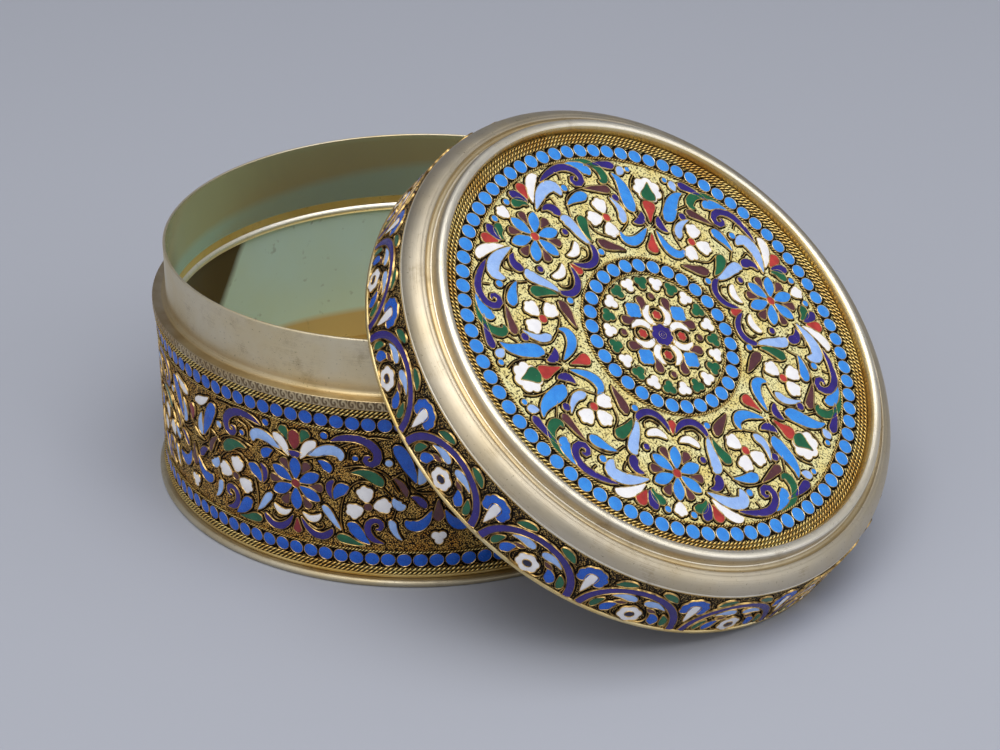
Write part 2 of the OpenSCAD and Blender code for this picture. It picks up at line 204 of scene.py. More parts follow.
# two strands wound on a ring: each strand's centre circles the ring's line once a pitch, and a round tube follows it.
# The side of a strand that faces the other one is its hollow, where the finish paints shade
def twistedRing(radius, height, kind, place):
    pitch, q = kind["pitch"], kind["wire"] / 4
    turns = round(2 * np.pi * radius / pitch)
    a = np.radians(around(0, turns * kind["steps"]))
    rise = np.arctan2(2 * np.pi * q, pitch)
    phase = turns * a + np.array([0, np.pi])[:, None]
    psi = np.radians(around(0, kind["sides"]))[:, None]
    zero, up = np.zeros_like(a), np.array([0, 0, 1.0])
    out, along = np.stack([np.cos(a), np.sin(a), zero], -1), np.stack([-np.sin(a), np.cos(a), zero], -1)
    c, s = np.cos(phase)[..., None], np.sin(phase)[..., None]
    n1 = c * out + s * up
    n2 = np.cos(rise) * (c * up - s * out) - np.sin(rise) * along
    line = radius * out + height * up + q * n1
    tube = line[:, :, None] + q * (np.cos(psi) * n1[:, :, None] + np.sin(psi) * n2[:, :, None])
    # 1 where the strands meet: there the finish paints shade
    deep = np.clip(0.78 - 0.85 * np.cos(psi[:, 0]), 0, 1)
    return raised(place(tube), deep), True


# Enamel cells and their wires, all drawn flat

# heights of the enamel's edge and foot and of the dark strip's edge; rises of crown and dark strip; half widths of wire
# and dark strip, which is painted shadow with soot at a wire's foot; a leaf's half width is multiplied by swell and
# grows by more, and least, narrow and broad are half widths too
cell = dict(edge=0.24, crown=0.11, sunk=-0.06, wire=0.085, wireTop=0.37, wireRound=0.06, stemLift=-0.06,
            soot=0.37, shadeEdge=0.004, shadeRise=0.05, swell=1.16, more=0.09, least=0.02, narrow=0.2, broad=0.45)
# points along a leaf, a stem, a loop and one span of a smooth line, and round a disc and a dot
counts = dict(leaf=20, stem=28, loop=32, span=24, disc=42, dot=18)


# smooth cubic curve through the listed (x, y, half width) points, its steps drawn together towards both ends
def smoothLine(points, steps, crowding=0.6):
    p = np.array(points, float)
    q = np.concatenate([2 * p[:1] - p[1:2], p, 2 * p[-1:] - p[-2:-1]])
    t = np.linspace(0, 1, counts["span"], endpoint=False)[:, None, None]
    a, b, c, d = q[:-3], q[1:-2], q[2:-1], q[3:]
    curve = 0.5 * (2 * b + (c - a) * t + (2 * a - 5 * b + 4 * c - d) * t ** 2 + (3 * b - a - 3 * c + d) * t ** 3)
    curve = np.concatenate([curve.transpose(1, 0, 2).reshape(-1, 3), p[-1:]])
    length = np.concatenate([[0], np.cumsum(np.linalg.norm(np.diff(curve[:, :2], axis=0), axis=1))])
    even = np.linspace(0, 1, steps)
    at = length[-1] * (crowding * (0.5 - 0.5 * np.cos(np.pi * even)) + (1 - crowding) * even)
    return np.stack([np.interp(at, length, curve[:, i]) for i in range(3)], -1)


# left-hand unit normals of K flat lines, closed or open
def sideways(line, closed):
    d = np.roll(line, -1, 1) - np.roll(line, 1, 1) if closed else np.gradient(line, axis=1)
    d = d / np.maximum(np.linalg.norm(d, axis=-1, keepdims=True), 1e-9)
    return np.stack([-d[..., 1], d[..., 0]], -1)


# a leaf: a low domed section whose half width follows the spine; also returns its outline for the wire
def leafCells(strokes, lift=0.0):
    s = np.stack([smoothLine(p, counts["leaf"]) for p in strokes])
    line, w = s[..., :2], s[..., 2:]
    w = np.maximum(w, cell["least"]) * cell["swell"] + cell["more"] * np.minimum(1, w / cell["narrow"])
    side = sideways(line, False)
    across, above = np.array([-1, -0.62, 0, 0.62, 1, 1, -1]), np.arange(7) < 5
    dome = cell["crown"] * np.minimum(1, w / cell["broad"])
    height = np.where(above, cell["edge"] + dome * (1 - across ** 2), cell["sunk"]) + lift
    flat = line[:, :, None] + side[:, :, None] * w[:, :, None] * across[:, None]
    return raised(flat, height), np.concatenate([line + side * w, (line - side * w)[:, ::-1]], 1)


# outline of overlapping round lobes (angle, distance, radius):
# the farthest that a ray from the middle stays in one of them
def lobed(lobes):
    angle, far, r = (np.array(v, float)[:, None] for v in zip(*lobes))
    off = np.radians(around(0, counts["disc"]) - angle)
    reach = far * np.cos(off) + np.sqrt(np.maximum(r ** 2 - (far * np.sin(off)) ** 2, 0))
    reach = np.where(r ** 2 < (far * np.sin(off)) ** 2, 0, reach).max(0)
    return reach / reach.max()


# equal lobes of radius 1 with their middles at a distance
def evenLobes(count, far):
    return lobed([(a, far, 1.0) for a in around(0, count)])


# a square with hollowed corners
lozengeTurn = np.radians(around(0, counts["disc"]))
lozenge = 1 + 0.1 * np.cos(4 * lozengeTurn) - 0.04 * np.cos(12 * lozengeTurn)
outlines = dict(
    round=np.ones(counts["dot"]), clover=evenLobes(3, 0.85), scallop=evenLobes(6, 1.15), palm=evenLobes(7, 1.6),
    star=evenLobes(7, 1.5), six=evenLobes(6, 1.5), lozenge=lozenge,
    petal=lobed([(0, 0.61, 0.39), (58, 0.56, 0.42), (-58, 0.56, 0.42), (180, 0.5, 0.42), (0, 0, 0.76)]),
    fan=lobed([(t, 1.7, 1.0) for t in (0, 40, -40, 80, -80, 120, -120)] + [(0, 0, 1.5)]))


# a disc of some outline, its rings drawn in and up to a low dome;
# each row is x, y, radius, outline, turn, squeeze
def discCells(discs, lift=0.0):
    r = np.array([d[2] * outlines[d[3]] for d in discs])
    d = np.array([d[:3] + d[4:] for d in discs], float)
    a = np.radians(around(0, r.shape[1]) + d[:, 3:4])
    shape = np.stack([r * np.cos(a), r * np.sin(a) * d[:, 4:5]], -1)
    rings, domed = np.array([1, 1, 0.72, 0.3]), np.array([0, 0, 0.6, 1])
    height = np.where(np.arange(4) > 0, cell["edge"] + domed * cell["crown"], cell["sunk"]) + lift
    flat = d[:, None, None, :2] + shape[:, None] * rings[None, :, None, None]
    return raised(flat, height[:, None]), d[:, None, :2] + shape


# strip along K flat lines: every point of its section lies off to the left of the line and at a height
def stripAlong(lines, closed, off, height):
    return raised(lines[:, :, None] + sideways(lines, closed)[:, :, None] * off[:, None], height)


# cell wire: a narrow rounded strip standing on the metal
def wireAlong(lines, closed, lift=0.0, wide=1.0):
    low, high, top = cell["sunk"], cell["wireTop"] - cell["wireRound"], cell["wireTop"]
    off = cell["wire"] * wide * np.array([-1, -0.8, 0, 0.8, 1])
    return stripAlong(lines, closed, off, np.array([low, high, top, high, low]) + lift)


# painted shadow with old soot in the corner at the foot of a wire: a broad dark strip that hardly rises from the metal
def sootShadeAlong(lines, closed, wide=1.0):
    edge, rise = cell["shadeEdge"], cell["shadeRise"]
    return stripAlong(lines, closed, cell["soot"] * wide * np.array([-1, 0, 1, 0]), np.array([edge, rise, edge, -rise]))


# the same leaf on the other side of the axis: x becomes -x
def mirrored(points):
    return [(-p[0],) + tuple(p[1:]) for p in points]


# the same disc on the other side: x becomes -x and its turn 180 - turn
def mirroredDisc(d):
    return (-d[0], d[1], d[2], d[3], 180 - d[4], d[5])


# a round disc
def dot(x, y, r):
    return (x, y, r, "round", 0, 1)


# n leaves about a centre, each from a profile of (distance, half width) points
def ringOf(centre, n, first, profile):
    return [[(*polar(r, a, centre), w) for r, w in profile] for a in around(first, n)]


# petals of a white flower, one at each turn
def whitePetals(centre, turns, reach=2.5, size=1.76):
    return [(*polar(reach, a, centre), size, "petal", a, 1) for a in turns]


bluePetal = [(0.9, 0.12), (1.7, 0.5), (2.8, 0.86), (3.8, 0.86), (4.7, 0.52), (5.25, 0.06)]
darkDrop = [(2.5, 0.04), (3.2, 0.24), (4.1, 0.58), (4.8, 0.64), (5.2, 0.2)]


# a region's motifs: leaves and discs by colour, some on the axis, the others on both sides of it
class Motif:
    def __init__(self):
        self.leaves, self.discs, self.stems, self.loops = {}, {}, [], []

    def leaf(self, colour, points, both=True, lift=0.0):
        group = self.leaves.setdefault((colour, lift), [])
        group += [points, mirrored(points)] if both else [points]

    # leaves of one colour, each on both sides
    def pairs(self, colour, *leaves):
        for points in leaves:
            self.leaf(colour, points)

    def disc(self, colour, d, both=True, lift=0.0):
        group = self.discs.setdefault((colour, lift, d[3] == "round"), [])
        group += [d, mirroredDisc(d)] if both else [d]

    def stem(self, *lines):
        for line in lines:
            p = [(x, y, 0) for x, y in line]
            self.stems += [p, mirrored(p)]

    # six petals, a dark drop between each two, and an eye
    def blueFlower(self, centre, blue, eye, eyeSize=0.86):
        for p in ringOf(centre, 6, 90, bluePetal):
            self.leaf(blue, p, False)
        for p in ringOf(centre, 6, 120, darkDrop):
            self.leaf("aubergine", p, False)
        self.disc(eye, dot(*centre, eyeSize), False)

    def colours(self):
        return {k[0] for k in [*self.leaves, *self.discs]}

    # flat grids of one colour
    def enamel(self, colour):
        leaves = [(leafCells(p, k[1])[0], False) for k, p in self.leaves.items() if k[0] == colour]
        return leaves + [(discCells(p, k[1])[0], False) for k, p in self.discs.items() if k[0] == colour]

    # every line that a wire follows, with its lift and whether it closes
    def lines(self):
        out = [(leafCells(p)[1], k[1], True) for k, p in self.leaves.items()]
        out += [(discCells(p)[1], k[1], True) for k, p in self.discs.items()]
        if self.loops:
            x, y, r = np.array(self.loops, float).T[..., None]
            out.append((np.stack(polar(r, around(0, counts["loop"]), (x, y)), -1), 0.0, True))
        if self.stems:
            spines = np.stack([smoothLine(p, counts["stem"])[:, :2] for p in self.stems])
            out.append((spines, cell["stemLift"], False))
        return out

    def wires(self):
        return [(wireAlong(line, closed, lift), closed) for line, lift, closed in self.lines()]

    def soot(self):
        return [(sootShadeAlong(line, closed), closed) for line, lift, closed in self.lines() if lift <= 0]


# flat grids placed at every start angle
def repeated(flats, place, starts):
    return [(np.concatenate([place(g, a) for a in starts]), wrap) for g, wrap in flats]


# Materials

# sRGB numbers out of 255 as linear colour
def tone(r, g, b):
    c = np.array([r, g, b]) / 255
    c = np.where(c <= 0.04045, c / 12.92, ((c + 0.055) / 1.055) ** 2.4)
    return (float(c[0]), float(c[1]), float(c[2]), 1.0)


# a socket of a material; arithmetic on it adds Math nodes
class Value:
    def __init__(self, finish, socket):
        self.finish, self.socket = finish, socket

    def math(self, operation, a, b):
        return self.finish.node("ShaderNodeMath", dict(operation=operation), {0: a, 1: b})

    def __add__(self, other): return self.math("ADD", self, other)
    def __radd__(self, other): return self.math("ADD", other, self)
    def __sub__(self, other): return self.math("SUBTRACT", self, other)
    def __rsub__(self, other): return self.math("SUBTRACT", other, self)
    def __mul__(self, other): return self.math("MULTIPLY", self, other)
    def __rmul__(self, other): return self.math("MULTIPLY", other, self)


class Finish:
    def __init__(self, name, **fixed):
        self.material = bpy.data.materials.new(name)
        self.material.use_nodes = True
        self.tree = self.material.node_tree
        self.shader = self.tree.nodes["Principled BSDF"]
        self.place = self.node("ShaderNodeTexCoord", {}, {}, "Object")
        for socket, value in fixed.items():
            self.shader.inputs[socket.replace("_", " ")].default_value = value

    # one node of any type: settings first (the two stops fill a ramp), then its sockets' values or links
    def node(self, kind, settings, inputs, output=0):
        n = self.tree.nodes.new(kind)
        for key, value in settings.items():
            if key == "stops":
                for stop, (at, grey) in zip(n.color_ramp.elements, value):
                    stop.position, stop.color = at, (grey, grey, grey, 1)
            else:
                setattr(n, key, value)
        for key, value in inputs.items():
            self.put(n.inputs[key], value)
        return Value(self, n.outputs[output])

    def put(self, socket, value):
        if isinstance(value, Value):
            self.tree.links.new(value.socket, socket)
        else:
            socket.default_value = value

    def feed(self, socket, value):
        self.put(self.shader.inputs[socket], value)

    def noise(self, scale, detail=3, rough=0.55):
        inputs = {"Vector": self.place, "Scale": scale, "Detail": detail, "Roughness": rough}
        return self.node("ShaderNodeTexNoise", {}, inputs)

    def cells(self, scale):
        return self.node("ShaderNodeTexVoronoi", {}, {"Vector": self.place, "Scale": scale}, "Distance")

    def ramp(self, value, *stops):
        return self.node("ShaderNodeValToRGB", dict(stops=stops), {0: value})

    # patches of noise: 0 up to the low value, 1 from the high one
    def patches(self, scale, detail, low, high, rough=0.55):
        return self.ramp(self.noise(scale, detail, rough), (low, 0), (high, 1))

    # a colour of three numbers is sRGB out of 255, one of four is linear
    def mix(self, factor, a, b):
        a, b = (tone(*c) if isinstance(c, tuple) and len(c) == 3 else c for c in (a, b))
        return self.node("ShaderNodeMix", dict(data_type="RGBA"), {0: factor, 6: a, 7: b}, 2)

    def vector(self, operation, a, b, output=0):
        return self.node("ShaderNodeVectorMath", dict(operation=operation), {0: a, 1: b}, output)

    def height(self, place=None):
        return self.node("ShaderNodeSeparateXYZ", {}, {0: place or self.place}, 2)

    # fine rings about the box's or the lid's axis: noise of radius + height in that axis's own frame
    def rings(self, axis, scale=2600):
        place = self.place
        if axis:
            centre, turn = tuple(v * mm for v in axis["centre"]), (0, np.radians(axis["tilt"]), 0)
            inputs = dict(Vector=place, Location=centre, Rotation=turn)
            place = self.node("ShaderNodeMapping", dict(vector_type="TEXTURE"), inputs)
        radius = self.vector("LENGTH", self.vector("MULTIPLY", place, (1, 1, 0)), (0, 0, 0), 1)
        inputs = {"W": (radius + self.height(place)) * scale, "Detail": 4, "Roughness": 0.7}
        return self.node("ShaderNodeTexNoise", dict(noise_dimensions="1D"), inputs)

    # bump of a distance in metres
    def bump(self, height, distance, strength=1.0):
        inputs = {"Strength": strength, "Distance": distance, "Height": height}
        self.feed("Normal", self.node("ShaderNodeBump", {}, inputs))


# opaque or translucent enamel: slow drift of shade, small pits, glassy skin with a faint ripple
def enamelFinish(name, colour, deep, pits, rough):
    f = Finish(name, IOR=1.52)
    drift = f.patches(520, 2, 0.34, 0.66)
    pit = f.ramp(f.cells(1700), (0.1, 1), (0.2, 0)) * f.patches(1500, 1, 0.52, 0.62)
    pitColour = tuple(0.3 * c for c in tone(*deep)[:3]) + (1,)
    f.feed("Base Color", f.mix(pit * pits, f.mix(drift * 0.55, colour, deep), pitColour))
    f.feed("Roughness", rough + 0.14 * f.noise(900, 2) + 0.25 * pit)
    f.bump(f.noise(850, 2) - 0.6 * pit, 0.00006)
    return f


# punched gilt ground: a grain of gold in every cell, soot and painted shade between the grains, some grains rubbed dark
def groundFinish(name, bright, warm, soot, gap, lost, metal, scale=4200):
    f = Finish(name, Specular_IOR_Level=0.15)
    grain = f.ramp(f.cells(scale), (gap - 0.2, 1), (gap + 0.08, 0))
    gold = grain * f.ramp(f.noise(1900, 2, 0.75), (0.5 - lost, 1), (0.66 - lost, 0))
    f.feed("Base Color", f.mix(gold, soot, f.mix(f.patches(240, 3, 0.35, 0.7), bright, warm)))
    f.feed("Metallic", 0.05 + metal * gold)
    f.feed("Roughness", 0.62 - 0.3 * gold)
    f.bump(gold, 0.00009, 0.9)
    return f


# painted shadow with soot and wax along the wires, thin enough in places to show the gilt
def sootShadeFinish(name, soot, gilt):
    f = Finish(name, Specular_IOR_Level=0.08)
    thin = f.patches(2100, 3, 0.62, 0.8, 0.7)
    f.feed("Base Color", f.mix(thin * 0.8, soot, gilt))
    f.feed("Metallic", thin * 0.8)
    f.feed("Roughness", 0.75 - 0.3 * thin)
    return f


# stamped or twisted work: worn bright where it stands up, dark in its hollows as painted shade with some dirt
def hollowFinish(name, high, warm, low, depth):
    f = Finish(name)
    hollow = f.node("ShaderNodeAttribute", dict(attribute_name="hollow"), {}, "Fac")
    shadeAndDirt = f.ramp(hollow * (0.7 + 0.6 * f.noise(900, 3)), (0.15, 0), (0.75, 1)) * depth
    f.feed("Base Color", f.mix(shadeAndDirt, f.mix(f.patches(120, 4, 0.35, 0.65), high, warm), low))
    f.feed("Metallic", 1 - 0.6 * shadeAndDirt)
    f.feed("Roughness", 0.3 + 0.35 * shadeAndDirt)
    return f


# drawn gilt wire: worn bright with brown left in patches
def wireFinish(name, bright, brown, amount):
    f = Finish(name)
    stain = f.patches(700, 3, 0.42, 0.68) * amount
    f.feed("Base Color", f.mix(stain, bright, brown))
    f.feed("Metallic", 1 - 0.3 * stain)
    f.feed("Roughness", 0.27 + 0.2 * stain + 0.1 * f.noise(2600, 1))
    return f


# satin silver-gilt: champagne with worn gold patches, fine lathe lines round the axis, scratches and specks;
# ochre is the height in metres up to which the metal is stained
def satinFinish(name, silver, gold, goldness, rough, axis=None, ochre=0):
    f = Finish(name, Metallic=1.0)
    lathe, worn = f.rings(axis), f.patches(170, 5, 0.4, 0.72, 0.7)
    streak = f.ramp(lathe * 0.7 + 0.3 * worn, (0.52, 0), (0.66, 1))
    base = f.mix(f.patches(60, 4, 0.38, 0.66, 0.6) * goldness, silver, gold)
    if ochre:
        low = f.ramp((f.height() - ochre) * 250 + 0.7 * f.noise(70, 3), (0.25, 1), (0.9, 0))
        base = f.mix(low * 0.6, base, (182, 150, 86))
    base = f.mix(streak * 0.55, base, (150, 130, 98))
    f.feed("Base Color", f.mix(f.patches(2300, 2, 0.67, 0.74) * 0.5, base, (78, 62, 40)))
    f.feed("Roughness", rough + 0.16 * lathe + 0.12 * worn - 0.1)
    f.bump(lathe + 0.4 * worn, 0.00004, 0.7)
    return f


# how far a point lies towards the side of the box where the dark reflection is painted, in metres
def towardsDarkReflection(f):
    return f.vector("DOT_PRODUCT", f.place, (-0.72, -0.694, 0), 1)


# inside of the collar: polished olive metal, which stays high up and on the side of the painted dark reflection; pale
# green low down and away from that side
def collarInside(name, olive, green, greenTop=0.0405, greenSide=0.012):
    f = Finish(name, Metallic=0.8)
    brushed = f.rings(None, 2200)
    fall = (greenTop - f.height()) * 300 + (greenSide - towardsDarkReflection(f)) * 25
    low = f.ramp(fall + 0.3 * f.noise(60, 4), (0.3, 0), (0.9, 1))
    f.feed("Base Color", f.mix(0.4 * brushed, f.mix(low, olive, green), (104, 94, 60)))
    f.feed("Roughness", 0.14 + 0.16 * brushed)
    return f


# inside of the drum: pale green, ochre next to the floor, and a painted dark reflection with a clear edge at one side
def drumInside(name, green, shade, ochre, darkReflection, ochreTop=0.0075, edge=20.1):
    f = Finish(name, Metallic=0.3)
    spots = f.patches(420, 2, 0.66, 0.76)
    low = f.ramp((f.height() - ochreTop) * 400 + 0.3 * f.noise(70, 3), (0.2, 1), (0.8, 0))
    # painted reflection: a dark patch with a clear edge towards one side, leaning with height
    across = (towardsDarkReflection(f) + 0.45 * f.height()) * 420 - edge
    reflectionPatch = f.ramp(across + 0.9 * f.noise(55, 4), (0.2, 0), (0.8, 1))
    base = f.mix(low, f.mix(f.patches(38, 4, 0.36, 0.7, 0.6) * 0.7, green, shade), ochre)
    base = f.mix(spots * 0.35, base, (92, 98, 84))
    f.feed("Base Color", f.mix(reflectionPatch, base, darkReflection))
    f.feed("Roughness", 0.24 + 0.12 * f.noise(160, 4) + 0.1 * spots)
    f.bump(f.noise(110, 3), 0.00008, 0.3)
    return f


# enamels: slot, name, colour, its deeper shade, strength of the pits, roughness
enamels = dict(
    turquoise=("turquoise", "turquoise enamel", (58, 146, 230), (40, 118, 210), 0.5, 0.2),
    # blue is the turquoise enamel made darker as painted shade, for the drum's wall and the lid's frieze
    blue=("turquoise", "blue enamel of the drum", (16, 92, 198), (9, 66, 164), 0.5, 0.2),
    sky=("turquoise", "light blue enamel", (160, 192, 242), (128, 164, 226), 0.35, 0.2),
    cobalt=("cobalt", "cobalt enamel", (48, 32, 126), (30, 18, 92), 0.3, 0.15),
    midnight=("cobalt", "midnight enamel", (26, 22, 62), (14, 12, 36), 0.3, 0.15),
    white=("white", "white enamel", (246, 244, 244), (228, 225, 230), 0.3, 0.25),
    red=("red", "red enamel", (192, 60, 52), (120, 28, 30), 0.4, 0.14),
    ruby=("red", "ruby enamel of the drum", (142, 36, 42), (88, 18, 26), 0.4, 0.14),
    green=("green", "green enamel", (22, 100, 64), (10, 64, 42), 0.4, 0.14),
    aubergine=("aubergine", "aubergine enamel", (92, 48, 54), (58, 28, 36), 0.4, 0.15))
finishes = {colour: enamelFinish(*row[1:]) for colour, row in enamels.items()}
# one punched gilt painted three ways: lit on the lid, darker on the wall and darker still on the frieze as painted
# shade
lidGroundLit = groundFinish("bright punched gilt", (255, 247, 184), (253, 230, 142), (36, 18, 7), 0.75, -0.07, 0.22, 2900)
wallGroundShaded = groundFinish("dark punched gilt", (255, 210, 116), (236, 166, 70), (20, 10, 6), 0.52, -0.01, 0.5)
friezeGroundShaded = groundFinish("shaded punched gilt", (255, 220, 140), (232, 178, 92), (12, 6, 4), 0.41, 0.04, 0.55)
brightWire = wireFinish("bright gilt wire", (246, 222, 158), (88, 54, 24), 0.9)
oldWire = wireFinish("old gilt wire", (226, 188, 118), (52, 30, 16), 1.0)
rope = hollowFinish("twisted gilt wire", (252, 226, 146), (230, 184, 98), (18, 9, 5), 1.0)
# dark strip at the foot of every wire and bead: painted shadow with some soot
soot = sootShadeFinish("soot along the wires", (14, 8, 5), (214, 170, 92))
stamped = hollowFinish("worn stamped silver-gilt", (206, 188, 152), (176, 148, 104), (88, 68, 44), 0.85)
footSatin = satinFinish("dull silver-gilt of the foot", (204, 194, 170), (190, 170, 124), 0.6, 0.45)
coveSatin = satinFinish("warm gilt left in the cove", (208, 192, 158), (204, 176, 122), 0.7, 0.4, lean)
# brighter satin for the rim's crest and the moulding's fillet and lip: painted highlight
rimHighlight = satinFinish("bright worn rim", (246, 238, 220), (238, 222, 186), 0.5, 0.36, lean)
collarSatin = satinFinish("satin silver-gilt of the collar", (224, 213, 186), (214, 192, 138), 0.6, 0.42, ochre=0.0366)
lidSatin = satinFinish("satin silver-gilt of the lid", (200, 189, 168), (192, 172, 132), 0.5, 0.42, lean)
goldSatin = satinFinish("gold-toned silver-gilt", (214, 190, 132), (200, 164, 88), 0.9, 0.32)
lidGold = satinFinish("gold-toned silver-gilt of the lid", (226, 208, 160), (214, 180, 104), 0.9, 0.3, lean)
ledgeHighlight = satinFinish("bright bead inside", (255, 251, 238), (246, 234, 200), 0.5, 0.4)
# insides: the drum's dark patch and the collar's olive on that side are a painted reflection
oliveInside = collarInside("aged inside of the collar", (214, 206, 168), (206, 232, 224))
greenInside = drumInside("aged inside of the drum", (206, 236, 232), (206, 230, 210), (208, 184, 126), (78, 67, 42))
floorGold = satinFinish("aged gold floor", (226, 204, 146), (210, 180, 112), 0.8, 0.4)
bandGold = satinFinish("gold band inside", (252, 226, 156), (236, 198, 114), 0.7, 0.38)
print("finishes made")

# Turned metal of the box, from outlines of (radius, height) points

middle = 0.4      # radius at which a turned plate is closed by a small cap

footLine = [(46.38, 0), (49.33, 0)] + arc((49.33, 0.65), 0.65, -80, 80) + [(49.33, 1.3), (46.38, 1.3)]
turnedPiece("foot_ring", "box", footLine, footSatin)
footWireLine = arc((drum["radius"] - 0.02, 1.7), 0.4, -90, 90)
turnedPiece("foot_wire", "box", footWireLine, goldSatin)

outside, inside, low, top = drum.values()
wallLine = [(outside, low), (outside, top), (inside, top), (inside, low)]
turnedPiece("drum_wall", "box", wallLine, [wallGroundShaded, greenInside], [0, 1, 1, 1])

# slightly dished where it was hammered flat: the top falls by sag times 1 - (radius / edge) squared
bottom = dict(top=2.3, edge=46.0, sag=0.25)
plate, edge, sag = bottom.values()
bottomLine = [(middle, low), (inside, low), (inside, plate), (edge, plate)]
bottomLine += [(r, plate - sag * (1 - (r / edge) ** 2)) for r in np.linspace(42, middle, 12)]
turnedPiece("bottom_plate", "box", bottomLine, floorGold, closed=False)

# stamped shoulder: a row of rolled scrolls, each a spiral groove sin(angle + coils times distance) about its own middle
shoulder = dict(low=34.4, top=36.3, face=48.7, scrolls=196, scrollSteps=15, coils=7, press=0.16)


def scrollDepth(a, r, h):
    v = (h - shoulder["low"]) / (shoulder["top"] - shoulder["low"]) * 2 - 1.05
    u = (a * shoulder["scrolls"] / (2 * np.pi)) % 1 * 2 - 1
    rho, phi = np.hypot(1.05 * u, 0.9 * v), np.arctan2(v, u)
    band = np.clip((0.92 - np.abs(v)) / 0.25, 0, 1) * (r > shoulder["face"])
    return band * (0.5 + 0.5 * np.sin(phi + shoulder["coils"] * rho))


shoulderLine = [(46.7, 34.4)] + arc((48.8, 34.9), 0.5, -90, -8, 6) + [(49.3, z) for z in np.linspace(34.94, 36.02, 13)]
shoulderLine += arc((49.05, 36.05), 0.25, 8, 90, 6) + [(46.7, 36.3)]
shoulderSteps = shoulder["scrolls"] * shoulder["scrollSteps"]
makePiece("shoulderRing", [turned(shoulderLine, onBox, shoulderSteps, True, scrollDepth, shoulder["press"])],
          stamped, "box", ["shoulder_ring"], 70)

# up the outside from a cove, over the lip, down the inside to a gold band
collarLine = [(46.2, 32.0), (46.7, 32.0), (46.7, 36.3)] + arc((47.6, 37.2), 0.9, 270, 180)
collarLine += [(46.7, z) for z in np.linspace(38, 46, 6)] + arc((46.45, 46.35), 0.25, 0, 180)
collarLine += [(46.2, z) for z in (45.5, 42, 38, 35, 33.5)]
turnedPiece("collar", "box", collarLine, [collarSatin, oliveInside, bandGold],
            [0] * 25 + [1] * 6 + [2], name="collarBand")
# bead round the inside, made evenly bright all round as a painted highlight
ledgeLine = arc((46.7, 31.1), 0.9, 90, 270, 13)
turnedPiece("ledge_ring", "box", ledgeLine, ledgeHighlight, name="ledgeBead")
print("box turned")

# Turned metal of the lid

skirtLine = [(skirt["radius"] - skirt["wall"], 0), (skirt["radius"], 0), (skirt["topRadius"], skirt["height"]),
             (skirt["topRadius"] - skirt["wall"], skirt["height"])]
turnedPiece("lid_skirt", "lid", skirtLine, [friezeGroundShaded, lidGold], [1, 0, 1, 1])
edgeWireLine = arc((skirt["radius"] - 0.06, 0.55), 0.4, -90, 90)
turnedPiece("skirt_edge_wire", "lid", edgeWireLine, lidGold)
slipLine = [(46.8, 2.6), (47.0, 2.4), (47.6, 2.4), (47.6, 11.4), (46.8, 11.4)]
turnedPiece("slip_ring", "lid", slipLine, lidSatin)

# moulding from the skirt to the rim: a fillet, a smooth round band with a fine groove, a soft step, a shallow cove with
# warm gilt left in it, a lip, with a painted highlight on fillet and lip; each run of the outline comes with the number
# of its finish
bandTurn = np.linspace(11, 90, 42)
groove, flattening = 0.02 * np.exp(-((bandTurn - 80) / 3) ** 2), 0.05 * np.sin(np.radians(2 * bandTurn)) ** 2
bandX, bandY = polar(1 - groove - flattening, bandTurn)
coveLine = [(45.44 - 0.9 * u, 14.1 - 0.26 * np.sin(np.pi * u)) for u in np.linspace(0.08, 1, 9)]
runs = (([(46.8, 11.4)], 0), (arc((48.55, 11.62), 0.22, -90, 60, 7), 1),
        (list(zip(45.6 + 3.17 * bandX, 11.4 + 2.97 * bandY)), 0), ([(45.52, 14.33), (45.46, 14.16)], 0),
        (coveLine, 2), (arc((44.34, 14.1), 0.2, 15, 150, 8), 1), ([(44.2, 13.2), (46.8, 12.3)], 0))
turnedPiece("lid_moulding", "lid", [p for line, kind in runs for p in line],
            [lidSatin, rimHighlight, coveSatin], [kind for line, kind in runs for p in line])
# rim: satin outside, painted highlight along its crest, and gold-toned inside as a painted reflection of the gilt
# ground
rimLine = [(42.2, 13.25), (44.2, 13.25), (44.2, 15.2)] + arc((43.2, 15.4), 1.0, 0, 180, 17) + [(42.2, 14.4)]
turnedPiece("lid_rim", "lid", rimLine, [lidSatin, rimHighlight, lidGold],
            [0] * 7 + [1] * 8 + [2] * 6)
plateLine = [(middle, 13.25), (42.2, 13.25), (42.2, plateTop), (middle, plateTop)]
turnedPiece("medallion_plate", "lid", plateLine, [lidGroundLit, lidGold],
            [1, 1, 0], [1, 0], closed=False)
print("lid turned")

# Twisted wires

for node, kind, height in (
    ("foot_rope_lower", thickRope, 2.47), ("foot_rope_upper", thickRope, 3.21),
    ("shoulder_rope_lower", thickRope, 33.29), ("shoulder_rope_upper", thickRope, 34.03),
    ("lower_border_wire", thinRope, 6.59), ("upper_border_wire", thinRope, 29.91)):
    wound = twistedRing(drum["radius"] + kind["wire"] / 2, height, kind, onBox)
    makePiece(pieceName(node), [wound], rope, "box", [node], 80)
for node, kind, radius in (
    ("rim_rope_outer", thickRope, 41.75), ("rim_rope_middle", thickRope, 41.01), ("rim_rope_inner", thickRope, 40.27),
    ("field_wire_outer", thinRope, 36.89), ("field_wire_inner", thinRope, 15.87), ("rosette_wire", thinRope, 12.61)):
    wound = twistedRing(radius, plateTop + kind["wire"] / 2, kind, onLid)
    makePiece(pieceName(node), [wound], rope, "lid", [node], 80)
print("twisted wires wound")


# Beads of enamel, each in its ring of wire

